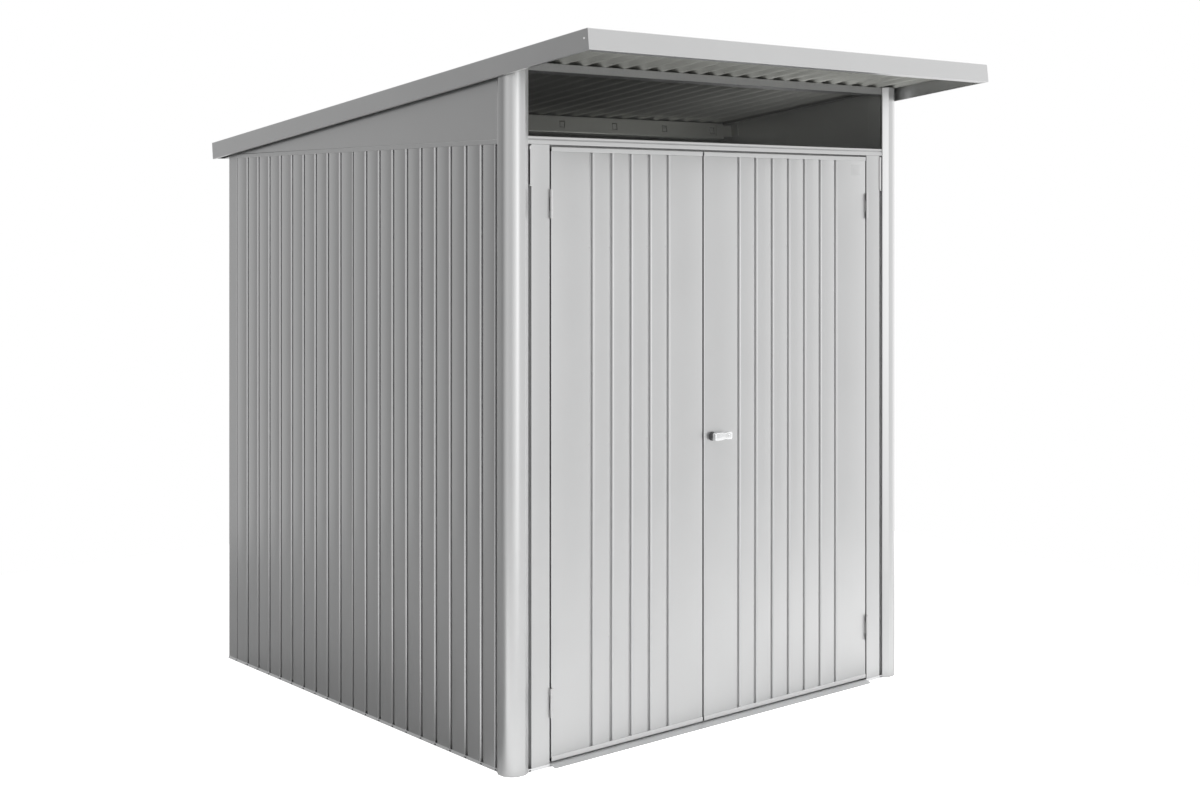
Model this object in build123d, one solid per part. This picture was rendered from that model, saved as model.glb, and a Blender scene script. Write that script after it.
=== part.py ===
from build123d import *
import math
import os

# A metal tool shed with a single-pitch roof, a pair of doors and a long window over them.
# Origin on the ground under the middle of the roof, +X to the right, +Y to the rear, +Z up.
# All sizes are in millimetres and degrees.

# Roof
roof_width = 1788.0
roof_length = 2237.0
roof_slope = 6.33
fascia_height = 62.0
fascia_top_lip = 40.0
fascia_bottom_lip = 10.0
front_bottom_lip = 24.0
trim_gauge = 1.2
corrugation_pitch = 76.0
corrugation_depth = 18.0
corrugation_flat = 24.0
sheet_end_gap = 3.0
gutter_width = 66.0
gutter_inner_height = 34.0
gutter_end_gap = 2.0
rear_bottom_lip = 10.0
sheet_over_gutter = 22.0

# Body of the shed under the roof
front_overhang = 390.0
rear_overhang = 82.0
side_overhang = 28.0
sheet_gauge = 1.0
bend_radius = 1.2
flange_depth = 24.0
strips_per_panel = 10
groove_top = 16.0
groove_bottom = 11.0
groove_depth = 5.0
seam_half = 4.0
seam_depth = 14.0
corner_width = 62.0
base_height = 9.0
base_width = 44.0
base_proud = 1.0
drain_width = 9.0
drain_height = 4.0
drain_depth = 8.0
upstand_height = 22.0
upstand_gauge = 2.0
upstand_gap = 2.0
trim_band_height = 15.0
trim_band_proud = 1.0

# Front pillars
pillar_size = 79.0
pillar_proud = 14.0
pillar_corner_radius = 42.0
pillar_bevel_run = 21.0
pillar_bevel_angle = 30.0
pillar_edge_radius = 3.0
pillar_groove = 13.0
pillar_wall = 2.0

# Door frame and window
jamb_width = 69.5
jamb_depth = 34.0
stop_lip = 14.0
doorway_height = 1872.0
lintel_height = 25.0
lintel_groove_height = 3.0
lintel_groove_depth = 1.5
lintel_groove_level = 13.5
window_height = 196.0
pane_gauge = 4.0
pane_setback = 3.0
ramp_reach = 24.0
ramp_thickness = 2.5
ramp_end_gap = 2.5

# Roof beams
front_beam_height = 24.0
front_beam_depth = 40.0
purlin_lead = 39.0
purlin_height = 62.0
purlin_flange = 36.0
purlin_gauge = 2.0
purlin_end_gap = 44.0
purlin_hole = 25.0
purlin_hole_pitch = 253.0
purlin_hole_margin = 50.0
bracket_leg = 40.0
bracket_height = 44.0

# Doors
door_gap = 6.0
door_bottom_gap = 6.0
door_top_gap = 6.0
door_thickness = 25.0
left_door_strips = 8
right_door_strips = 10
door_plain_strips = 2
edge_rail_height = 13.0
stiffener_height = 60.0
stiffener_count = 3
stiffener_bottom_inset = 340.0
stiffener_top_inset = 307.0
stiffener_gap = 1.5

# Hinges, two to a door, on the line between jamb and leaf
hinge_bottom_inset = 133.0
hinge_top_inset = 128.0
hinge_length = 88.0
hinge_end_share = 0.27
hinge_knuckle_gap = 0.6
hinge_axis_out = 5.0
hinge_knuckle_radius = 4.5
hinge_pin_radius = 2.2
hinge_running_gap = 0.05
hinge_plate_gauge = 1.5
hinge_plate_depth = 20.0

# Handle
handle_inset = 36.2
handle_level = 938.0
rosette_radius = 17.0
rosette_thickness = 4.0
neck_radius = 13.0
neck_length = 12.0
neck_running_gap = 0.3
lever_back_reach = 13.0
lever_front_reach = 65.0
lever_thickness = 14.0
lever_width = 26.0
lever_end_width = 25.0
lever_waist_width = 21.0
lever_waist_start = 21.0
lever_waist_middle = 32.5
lever_waist_end = 41.5
lever_back_radius = 7.0
lever_waist_radius = 9.0
lever_shoulder_radius = 5.0
lever_end_radius = 6.0
lever_chamfer = 1.5
lock_radius = 7.0
lock_proud = 2.0
lock_inset = 13.0

# Places that follow from the sizes above
slope = math.radians(roof_slope)
plan_length = roof_length * math.cos(slope)
fascia_lean = fascia_height * math.sin(slope)
roof_front = fascia_lean - (plan_length + fascia_lean) / 2
roof_rear = roof_front + plan_length
front_face = roof_front + front_overhang
rear_face = roof_rear - rear_overhang
side_face = roof_width / 2 - side_overhang
pillar_outer = side_face + pillar_proud
pillar_inner = pillar_outer - pillar_size
pillar_back = front_face - pillar_proud + pillar_size
jamb_outer = pillar_inner - pillar_groove
jamb_inner = jamb_outer - jamb_width
stop_half = jamb_inner - stop_lip
leaf_edge = jamb_inner - door_gap
door_pitch = 2 * leaf_edge / (left_door_strips + right_door_strips)
meeting_line = leaf_edge - right_door_strips * door_pitch
side_panel_length = (rear_face - corner_width - pillar_back) / 2
rear_panel_length = side_face - corner_width
leaf_bottom = base_height + door_bottom_gap
leaf_top = doorway_height - door_top_gap
lintel_top = doorway_height + lintel_height
gable_bottom = doorway_height + trim_band_height
panel_joint = pillar_back + side_panel_length
purlin_face = panel_joint - purlin_lead
purlin_half_length = side_face - purlin_end_gap
hinge_line = leaf_edge + door_gap / 2
hinge_levels = (leaf_bottom + hinge_bottom_inset, leaf_top - hinge_top_inset - hinge_length)
handle_x = meeting_line + handle_inset

sheet_underside = trim_gauge + corrugation_depth
beam_underside = sheet_underside + front_beam_height
overall_height = lintel_top + window_height
overall_height += front_overhang * math.tan(slope) + beam_underside / math.cos(slope)

# Frame of the roof: origin on its front top edge, +Y down the slope, +Z out of the roof
roof_frame = Location((0, roof_front, overall_height), (-roof_slope, 0, 0))

# Frame of the handle: origin on the right leaf's face, +X along the lever, +Z out of the door
handle_frame = Plane(origin=(handle_x, front_face, handle_level), x_dir=(1, 0, 0), z_dir=(0, -1, 0)).location


def along_roof(plan_y, depth):
    """Distance down the slope of a point at that depth in the roof and that plan position."""
    return (plan_y - roof_front) / math.cos(slope) + depth * math.tan(slope)


def below_plane(part, depth):
    """What of a part lies under the plane at that depth in the roof."""
    cut = Plane(origin=(0, roof_front, overall_height), z_dir=(0, math.sin(slope), math.cos(slope)))
    return split(part, bisect_by=cut.offset(-depth), keep=Keep.BOTTOM)


def mirrored(part):
    """The same piece on the other side of the shed."""
    return mirror(part, about=Plane.YZ)


def folded_section(path, gauge, bend):
    """Face of a sheet folded along a path, its thickness to the left. A bend of zero is sharp."""
    outer_bend = bend + gauge if bend else 0
    points = [Vector(*point) for point in path]
    runs = [(after - before).normalized() for before, after in zip(points, points[1:])]
    sides = [Vector(-run.Y, run.X) for run in runs]
    other_face = [points[0] + sides[0] * gauge]
    near_radii = []
    far_radii = []
    for index in range(1, len(points) - 1):
        before, after = sides[index - 1], sides[index]
        mitre = (before + after) / (1 + before.dot(after))
        other_face.append(points[index] + mitre * gauge)
        turns_left = runs[index - 1].cross(runs[index]).Z > 0
        near_radii.append(outer_bend if turns_left else bend)
        far_radii.append(bend if turns_left else outer_bend)
    other_face.append(points[-1] + sides[-1] * gauge)
    outline = points + other_face[::-1]
    radii = [0] + near_radii + [0, 0] + far_radii[::-1] + [0]
    return make_face(FilletPolyline(*outline, radius=radii, close=True))


def along_x(section, x_from, x_to):
    """A section drawn in depth and height, carried along X."""
    frame = Plane(origin=(x_from, 0, 0), x_dir=(0, 1, 0), z_dir=(1, 0, 0))
    return extrude(frame * section, amount=x_to - x_from)


def groove_points(centre):
    """Outline of one pressed groove, its depth counted inward."""
    return [
        (centre - groove_top / 2, 0),
        (centre - groove_bottom / 2, groove_depth),
        (centre + groove_bottom / 2, groove_depth),
        (centre + groove_top / 2, 0),
    ]


def wall_panel(length, height, end_recess):
    """A grooved panel with its outer face on the XZ plane, its edges folded inward."""
    pitch = length / strips_per_panel
    path = [(0, flange_depth), (0, seam_depth), (seam_half, seam_depth), (seam_half, 0)]
    for index in range(1, strips_per_panel):
        path += groove_points(index * pitch)
    path += [(length - end_recess, 0), (length - end_recess, seam_depth)]
    path += [(length, seam_depth), (length, flange_depth)]
    return extrude(folded_section(path, sheet_gauge, 0), amount=height)


def left_wall_frame(rear_end):
    """Frame of a piece on the left wall, +X towards the front, +Y inward."""
    return Plane(origin=(-side_face, rear_end, 0), x_dir=(0, -1, 0), z_dir=(0, 0, 1)).location


def rear_wall_frame(right_end):
    """Frame of a piece on the rear wall, +X towards the left, +Y inward."""
    return Plane(origin=(right_end, rear_face, 0), x_dir=(-1, 0, 0), z_dir=(0, 0, 1)).location


def left_side_panels():
    """Rear and front panels of the left wall, the front one with a groove beside the pillar."""
    height = doorway_height - base_height
    rear = Pos(0, 0, base_height) * wall_panel(side_panel_length, height, seam_half)
    front = Pos(0, 0, base_height) * wall_panel(side_panel_length, height, pillar_groove)
    return left_wall_frame(rear_face - corner_width) * rear, left_wall_frame(panel_joint) * front


def rear_panels():
    """Right and left panels of the rear wall."""
    height = doorway_height - base_height
    panel = Pos(0, 0, base_height) * wall_panel(rear_panel_length, height, seam_half)
    return rear_wall_frame(rear_panel_length) * panel, rear_wall_frame(0) * panel


def rail_block(proud):
    """Section of a base rail's low block, its face that far outside the wall."""
    return Pos(base_width / 2 - proud, base_height / 2) * Rectangle(base_width, base_height)


def rail_upstand(back):
    """Section of a base rail's upstand, its inner side at that depth."""
    place = Pos(back - upstand_gauge / 2, base_height + upstand_height / 2)
    return place * Rectangle(upstand_gauge, upstand_height)


def drains(places, proud):
    """Cutters for the drain notches at a rail's lower outer edge, at those places along it."""
    sides = (Align.CENTER, Align.MIN, Align.MIN)
    cutter = Box(drain_width, drain_depth, drain_height, align=sides)
    return [Pos(place, -proud, 0) * cutter for place in places]


def side_rail():
    """Base rail of the left wall, from the rear face to the pillar, a drain under each groove."""
    length = rear_face - pillar_back
    pitch = side_panel_length / strips_per_panel
    places = [corner_width + index * pitch for index in range(2 * strips_per_panel)]
    places.append(length - pillar_groove / 2)
    block = along_x(rail_block(base_proud), 0, length) - drains(places, base_proud)
    upstand = along_x(rail_upstand(flange_depth + upstand_gap + upstand_gauge), base_width, length)
    return left_wall_frame(rear_face) * (block + upstand)


def rear_rail():
    """Base rail of the rear wall, between the side rails, a drain under each groove."""
    half = side_face + base_proud - base_width
    pitch = rear_panel_length / strips_per_panel
    places = [half + index * pitch for index in range(1 - strips_per_panel, strips_per_panel)]
    block = along_x(rail_block(base_proud), 0, 2 * half) - drains(places, base_proud)
    upstand = along_x(rail_upstand(flange_depth + upstand_gap + upstand_gauge), 0, 2 * half)
    return rear_wall_frame(half) * (block + upstand)


def front_rail():
    """Base rail between the pillars, a drain by each, its upstand a stop behind the doors."""
    groove = (pillar_inner + jamb_outer) / 2
    block = along_x(rail_block(0), -pillar_inner, pillar_inner) - drains((-groove, groove), 0)
    upstand = along_x(rail_upstand(jamb_depth), -stop_half, stop_half)
    return Pos(0, front_face, 0) * (block + upstand)


def door_ramp():
    """Sloping sill plate in front of the front rail, between the jambs."""
    half = jamb_inner - ramp_end_gap
    outline = Polyline(
        (0, base_height),
        (0, base_height - ramp_thickness),
        (ramp_thickness - ramp_reach, 0),
        (-ramp_reach, 0),
        close=True,
    )
    return Pos(0, front_face, 0) * along_x(make_face(outline), -half, half)


def front_pillar():
    """Left front pillar, a tube rounded at its corner and bevelled beside it, cut to the roof."""
    front = front_face - pillar_proud
    drop = pillar_bevel_run * math.tan(math.radians(pillar_bevel_angle))
    outline = FilletPolyline(
        (-pillar_outer, front),
        (-pillar_inner - pillar_bevel_run, front),
        (-pillar_inner, front + drop),
        (-pillar_inner, pillar_back),
        (-pillar_outer + drop, pillar_back),
        (-pillar_outer, pillar_back - pillar_bevel_run),
        radius=[pillar_corner_radius] + 5 * [pillar_edge_radius],
        close=True,
    )
    face = make_face(outline)
    tube = extrude(face - offset(face, -pillar_wall), amount=overall_height)
    return below_plane(tube, sheet_underside)


def rear_corner():
    """Left rear corner post, folded round the corner and cut to the roof."""
    inner_x = -side_face + corner_width
    inner_y = rear_face - corner_width
    path = [
        (inner_x, rear_face - flange_depth),
        (inner_x, rear_face),
        (-side_face, rear_face),
        (-side_face, inner_y),
        (-side_face + flange_depth, inner_y),
    ]
    post = extrude(folded_section(path, sheet_gauge, bend_radius), amount=overall_height)
    return below_plane(Pos(0, 0, base_height) * post, sheet_underside)


def trim_band():
    """Folded band that caps the left wall's panels and carries the gable."""
    path = [
        (flange_depth, trim_band_height),
        (-trim_band_proud, trim_band_height),
        (-trim_band_proud, 0),
        (flange_depth, 0),
    ]
    length = rear_face - corner_width - pillar_back
    band = along_x(folded_section(path, sheet_gauge, bend_radius), 0, length)
    return left_wall_frame(rear_face - corner_width) * (Pos(0, 0, doorway_height) * band)


def gable_panel():
    """Left gable: a shallow tray that fills the wedge under the roof."""
    rear = rear_face - corner_width
    wedge = Polyline(
        (pillar_back, gable_bottom),
        (rear, gable_bottom),
        (rear, underside_height(rear)),
        (pillar_back, underside_height(pillar_back)),
        close=True,
    )
    face = make_face(wedge)
    frame = Plane(origin=(-side_face, 0, 0), x_dir=(0, 1, 0), z_dir=(1, 0, 0))
    tray = extrude(frame * face, amount=flange_depth)
    hollow = extrude(frame.offset(sheet_gauge) * offset(face, -sheet_gauge), amount=flange_depth)
    return tray - hollow


def underside_height(plan_y):
    """Height of the roof sheet's underside over a plan position."""
    return overall_height - (plan_y - roof_front) * math.tan(slope) - sheet_underside / math.cos(slope)


def door_jamb():
    """Left jamb: a folded strip with a stop lip behind the leaf's edge."""
    lip_face = front_face + jamb_depth - sheet_gauge
    path = [
        (-jamb_outer, lip_face),
        (-jamb_outer, front_face),
        (-jamb_inner, front_face),
        (-jamb_inner, lip_face),
        (-stop_half, lip_face),
    ]
    strip = extrude(folded_section(path, sheet_gauge, bend_radius), amount=doorway_height - base_height)
    return Pos(0, 0, base_height) * strip


def lintel():
    """Rail over the doors with one fine groove along its face and a stop behind the leaves."""
    bar = Pos(jamb_depth / 2, lintel_height / 2) * Rectangle(jamb_depth, lintel_height)
    groove = Rectangle(lintel_groove_depth, lintel_groove_height)
    bar -= Pos(lintel_groove_depth / 2, lintel_groove_level) * groove
    stop = Pos(jamb_depth - upstand_gauge / 2, -stop_lip / 2) * Rectangle(upstand_gauge, stop_lip)
    rail = along_x(bar, -pillar_inner, pillar_inner) + along_x(stop, -stop_half, stop_half)
    return Pos(0, front_face, doorway_height) * rail


def front_beam():
    """Beam under the front of the roof sheet, between the pillars."""
    start = along_roof(front_face, beam_underside)
    place = Pos(start + front_beam_depth / 2, -beam_underside + front_beam_height / 2)
    bar = along_x(place * Rectangle(front_beam_depth, front_beam_height), -pillar_inner, pillar_inner)
    return roof_frame * bar


def window_pane():
    """Clear sheet between lintel and front beam."""
    section = Pos(pane_setback + pane_gauge / 2, overall_height / 2) * Rectangle(pane_gauge, overall_height)
    sheet = along_x(section, -pillar_inner, pillar_inner)
    return below_plane(Pos(0, front_face, lintel_top) * sheet, beam_underside)


def channel_section(height, flange, gauge):
    """Channel with its web on the near side, its top at zero."""
    path = [(flange, 0), (0, 0), (0, -height), (flange, -height)]
    return folded_section(path, gauge, gauge)


def roof_purlin():
    """Channel across the middle of the roof with square holes in its web."""
    start = along_roof(purlin_face, sheet_underside)
    section = Pos(start, -sheet_underside) * channel_section(purlin_height, purlin_flange, purlin_gauge)
    bar = along_x(section, -purlin_half_length, purlin_half_length)
    each_side = math.floor((purlin_half_length - purlin_hole_margin) / purlin_hole_pitch)
    for index in range(-each_side, each_side + 1):
        x = index * purlin_hole_pitch
        hole = Box(purlin_hole, 3 * purlin_gauge, purlin_hole)
        bar -= Pos(x, start, -sheet_underside - purlin_height / 2) * hole
    return roof_frame * bar


def purlin_brackets():
    """Angle at each end of the purlin that fixes it to the gables."""
    start = along_roof(purlin_face, sheet_underside)
    gable_inner = side_face - sheet_gauge
    path = [
        (gable_inner, start - bracket_leg),
        (gable_inner, start),
        (purlin_half_length - bracket_leg, start),
    ]
    angle = extrude(folded_section(path, purlin_gauge, purlin_gauge), amount=bracket_height)
    bottom = -sheet_underside - purlin_height / 2 - bracket_height / 2
    right = roof_frame * (Pos(0, 0, bottom) * angle)
    return [right, mirrored(right)]


def rear_beam():
    """Channel on top of the rear wall, between the corner posts."""
    height = underside_height(rear_face) - doorway_height
    section = channel_section(height, flange_depth, sheet_gauge)
    bar = Pos(0, 0, doorway_height + height) * along_x(section, 0, 2 * rear_panel_length)
    return rear_wall_frame(rear_panel_length) * bar


def roof_sheet():
    """Right half of the corrugated roof, from the middle of a crest, its waves down the slope."""
    low = -sheet_underside
    high = -trim_gauge - sheet_gauge
    half_flat = corrugation_flat / 2
    room = roof_width / 2 - trim_gauge - half_flat
    path = []
    for crest in range(math.floor(room / corrugation_pitch + 0.5)):
        x = crest * corrugation_pitch
        path += [(max(x - half_flat, 0), high), (x + half_flat, high)]
        x += corrugation_pitch / 2
        path += [(x - half_flat, low), (x + half_flat, low)]
    frame = Plane(origin=(0, sheet_end_gap, 0), x_dir=(1, 0, 0), z_dir=(0, -1, 0))
    length = roof_length - gutter_width + sheet_over_gutter - sheet_end_gap
    section = folded_section(path, sheet_gauge, 0)
    return roof_frame * extrude(frame * section, amount=-length)


def mitre_plane():
    """Plane of the mitre between left and front fascia, in the roof's frame."""
    return Plane(origin=(-roof_width / 2, 0, 0), z_dir=(1, -1, 0))


def side_fascia():
    """Left fascia with a lip over the roof sheet, mitred at the front."""
    path = [
        (fascia_top_lip, 0),
        (0, 0),
        (0, -fascia_height),
        (fascia_bottom_lip, -fascia_height),
    ]
    frame = Plane(origin=(-roof_width / 2, 0, 0), x_dir=(1, 0, 0), z_dir=(0, -1, 0))
    strip = extrude(frame * folded_section(path, trim_gauge, bend_radius), amount=-roof_length)
    return roof_frame * split(strip, bisect_by=mitre_plane(), keep=Keep.BOTTOM)


def front_fascia():
    """Front fascia, mitred to the side ones at both ends."""
    path = [
        (fascia_top_lip, 0),
        (0, 0),
        (0, -fascia_height),
        (front_bottom_lip, -fascia_height),
    ]
    section = folded_section(path, trim_gauge, bend_radius)
    strip = along_x(section, -roof_width / 2, roof_width / 2)
    strip = split(strip, bisect_by=mitre_plane(), keep=Keep.TOP)
    strip = split(mirrored(strip), bisect_by=mitre_plane(), keep=Keep.TOP)
    return roof_frame * strip


def rear_gutter():
    """Rear fascia with the gutter, which ends in caps between the side fascias' top lips."""
    inner = roof_length - gutter_width
    bottom = -fascia_height + trim_gauge
    path = [
        (inner, bottom + gutter_inner_height),
        (inner, bottom),
        (roof_length, bottom),
        (roof_length, -trim_gauge),
    ]
    half = roof_width / 2 - trim_gauge - bend_radius
    strip = along_x(folded_section(path, trim_gauge, bend_radius), -half, half)
    gutter_half = roof_width / 2 - fascia_top_lip - gutter_end_gap
    middle = inner + (gutter_width - rear_bottom_lip) / 2
    beyond = Pos(middle, bottom) * Rectangle(gutter_width - rear_bottom_lip, 3 * gutter_inner_height)
    beyond = along_x(beyond, gutter_half, roof_width / 2)
    middle = inner + (gutter_width - trim_gauge) / 2
    cap = Rectangle(gutter_width - trim_gauge, gutter_inner_height)
    cap = Pos(middle, bottom + gutter_inner_height / 2) * cap
    cap = along_x(cap, gutter_half - trim_gauge, gutter_half)
    return roof_frame * (strip - [beyond, mirrored(beyond)] + [cap, mirrored(cap)])


def left_hinge(level, moving):
    """One half of a left hinge: end knuckles with the pin, or the middle knuckle."""
    end_length = hinge_length * hinge_end_share
    middle_bottom = level + end_length
    middle_length = hinge_length - 2 * end_length
    y = front_face - hinge_axis_out
    axis = Pos(-hinge_line, y, 0)
    plate_length = hinge_axis_out + hinge_plate_depth
    plate_y = y + plate_length / 2
    flat = Align.MIN
    if moving:
        spans = [(middle_bottom + hinge_knuckle_gap, middle_length - 2 * hinge_knuckle_gap)]
        plate_x = -leaf_edge - hinge_plate_gauge / 2
    else:
        spans = [(level, end_length), (middle_bottom + middle_length, end_length)]
        plate_x = -jamb_inner + hinge_plate_gauge / 2
    half = Part()
    for bottom, length in spans:
        knuckle = Cylinder(hinge_knuckle_radius, length, align=(Align.CENTER, Align.CENTER, flat))
        plate = Box(hinge_plate_gauge, plate_length, length, align=(Align.CENTER, Align.CENTER, flat))
        half += axis * Pos(0, 0, bottom) * knuckle
        half += Pos(plate_x, plate_y, bottom) * plate
    pin_radius = hinge_pin_radius + hinge_running_gap if moving else hinge_pin_radius
    pin = Cylinder(pin_radius, hinge_length, align=(Align.CENTER, Align.CENTER, flat))
    pin = axis * Pos(0, 0, level) * pin
    return half - pin if moving else half + pin


def leaf_skin(width, strips):
    """Grooved face of a door leaf with its side edges folded back, between the edge rails."""
    path = [(0, door_thickness), (0, 0)]
    for index in range(door_plain_strips, strips - door_plain_strips + 1):
        path += groove_points(index * door_pitch)
    path += [(width, 0), (width, door_thickness)]
    height = leaf_top - leaf_bottom - 2 * edge_rail_height
    skin = extrude(folded_section(path, sheet_gauge, 0), amount=height)
    return Pos(0, 0, leaf_bottom + edge_rail_height) * skin


def leaf_edge_rails(width):
    """Folded rails along the bottom and the top of a leaf."""
    path = [
        (0, edge_rail_height),
        (0, 0),
        (door_thickness, 0),
        (door_thickness, edge_rail_height),
    ]
    rail = along_x(folded_section(path, sheet_gauge, 0), 0, width)
    bottom = Pos(0, 0, leaf_bottom) * rail
    top = Pos(0, 0, leaf_top) * mirror(rail, about=Plane.XY)
    return [bottom, top]


def leaf_stiffeners(width):
    """Channels across the inner side of a leaf, on the backs of its grooves."""
    near = groove_depth + sheet_gauge
    far = door_thickness - sheet_gauge
    half = stiffener_height / 2
    path = [
        (near, -half),
        (far, -half),
        (far, half),
        (near, half),
    ]
    margin = sheet_gauge + stiffener_gap
    channel = along_x(folded_section(path, sheet_gauge, 0), margin, width - margin)
    lowest = leaf_bottom + stiffener_bottom_inset
    step = (leaf_top - stiffener_top_inset - lowest) / (stiffener_count - 1)
    return [Pos(0, 0, lowest + index * step) * channel for index in range(stiffener_count)]


def handle_rosette():
    """Round plate under the handle on the right leaf."""
    disc = Cylinder(rosette_radius, rosette_thickness)
    return handle_frame * Pos(0, 0, rosette_thickness / 2) * disc


def handle_lever():
    """Turning lever with its neck, wide at both ends and waisted in the middle."""
    upper = [
        (-lever_back_reach, lever_width / 2),
        (lever_waist_start, lever_width / 2),
        (lever_waist_middle, lever_waist_width / 2),
        (lever_waist_end, lever_end_width / 2),
        (lever_front_reach, lever_end_width / 2),
    ]
    radii = [
        lever_back_radius,
        lever_waist_radius,
        lever_waist_radius,
        lever_shoulder_radius,
        lever_end_radius,
    ]
    lower = [(x, -y) for x, y in reversed(upper)]
    outline = FilletPolyline(*upper, *lower, radius=radii + radii[::-1], close=True)
    bottom = rosette_thickness + neck_running_gap
    bar = Pos(0, 0, bottom + neck_length) * extrude(make_face(outline), amount=lever_thickness)
    bar = chamfer(bar.faces().sort_by(Axis.Z)[-1].edges(), lever_chamfer)
    neck = Pos(0, 0, bottom + neck_length / 2) * Cylinder(neck_radius, neck_length)
    return handle_frame * (bar + neck)


def lock_cylinder():
    """Round lock near the lever's end."""
    top = rosette_thickness + neck_running_gap + neck_length + lever_thickness
    x = lever_front_reach - lock_inset
    return handle_frame * Pos(x, 0, top + lock_proud / 2) * Cylinder(lock_radius, lock_proud)


def save(name, part):
    """Write one piece, or several that share a node, to its own file."""
    if isinstance(part, (list, tuple)):
        part = Compound(children=list(part))
    export_step(part, os.path.join("parts", name + ".step"))


def save_pair(name, part):
    """Write a left piece and its mirror image on the right."""
    parts = part if isinstance(part, (list, tuple)) else [part]
    save("left_" + name, parts)
    save("right_" + name, [mirrored(each) for each in parts])


os.makedirs("parts", exist_ok=True)

save_pair("base_rail", side_rail())
save("rear_base_rail", rear_rail())
save("front_base_rail", front_rail())
save("door_ramp", door_ramp())
save_pair("front_pillar", front_pillar())
save_pair("rear_corner", rear_corner())

rear_side_panel, front_side_panel = left_side_panels()
save_pair("wall_rear_panel", rear_side_panel)
save_pair("wall_front_panel", front_side_panel)
right_rear_panel, left_rear_panel = rear_panels()
save("rear_wall_right_panel", right_rear_panel)
save("rear_wall_left_panel", left_rear_panel)
save_pair("wall_trim", trim_band())
save_pair("gable_panel", gable_panel())

save_pair("door_jamb", door_jamb())
save("lintel", lintel())
save("window_pane", window_pane())
save("front_roof_beam", front_beam())
save("roof_purlin", roof_purlin())
save("purlin_brackets", purlin_brackets())
save("rear_roof_beam", rear_beam())
save_pair("roof_sheet", mirrored(roof_sheet()))
save("front_fascia", front_fascia())
save_pair("fascia", side_fascia())
save("rear_gutter", rear_gutter())

save_pair("hinge_fixed_halves", [left_hinge(level, False) for level in hinge_levels])
save_pair("hinge_door_halves", [left_hinge(level, True) for level in hinge_levels])

left_leaf = Pos(-leaf_edge, front_face, 0)
left_width = leaf_edge + meeting_line - door_gap
save("left_door_skin", left_leaf * leaf_skin(left_width, left_door_strips))
left_rails = leaf_edge_rails(left_width) + leaf_stiffeners(left_width)
save("left_door_rails", [left_leaf * rail for rail in left_rails])

right_leaf = Pos(meeting_line, front_face, 0)
right_width = leaf_edge - meeting_line
save("right_door_skin", right_leaf * leaf_skin(right_width, right_door_strips))
right_rails = leaf_edge_rails(right_width) + leaf_stiffeners(right_width)
save("right_door_rails", [right_leaf * rail for rail in right_rails])
save("handle_rosette", handle_rosette())
save("handle_lever", handle_lever())
save("handle_lock", lock_cylinder())
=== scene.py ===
import math
import bpy
import numpy as np
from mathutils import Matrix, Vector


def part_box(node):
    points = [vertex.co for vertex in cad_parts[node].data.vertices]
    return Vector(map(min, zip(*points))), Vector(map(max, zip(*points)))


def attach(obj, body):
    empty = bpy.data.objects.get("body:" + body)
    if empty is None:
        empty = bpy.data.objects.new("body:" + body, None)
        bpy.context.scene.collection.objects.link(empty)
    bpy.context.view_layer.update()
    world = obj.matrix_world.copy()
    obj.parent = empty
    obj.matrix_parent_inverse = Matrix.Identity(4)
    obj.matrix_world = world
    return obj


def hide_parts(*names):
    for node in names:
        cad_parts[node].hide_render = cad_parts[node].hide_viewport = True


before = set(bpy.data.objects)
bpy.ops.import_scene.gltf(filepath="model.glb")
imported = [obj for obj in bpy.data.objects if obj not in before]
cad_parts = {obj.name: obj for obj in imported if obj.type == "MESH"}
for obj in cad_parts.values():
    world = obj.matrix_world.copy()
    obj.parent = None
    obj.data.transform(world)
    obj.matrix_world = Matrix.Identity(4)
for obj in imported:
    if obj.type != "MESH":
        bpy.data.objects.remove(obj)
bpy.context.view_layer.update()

# Base rails and ramp
# Extruded aluminium rails, left mill-finished, that lie on the ground under every wall.
# The ramp is a bent plate of duller aluminium, clipped to the front rail under the doors.


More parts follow.
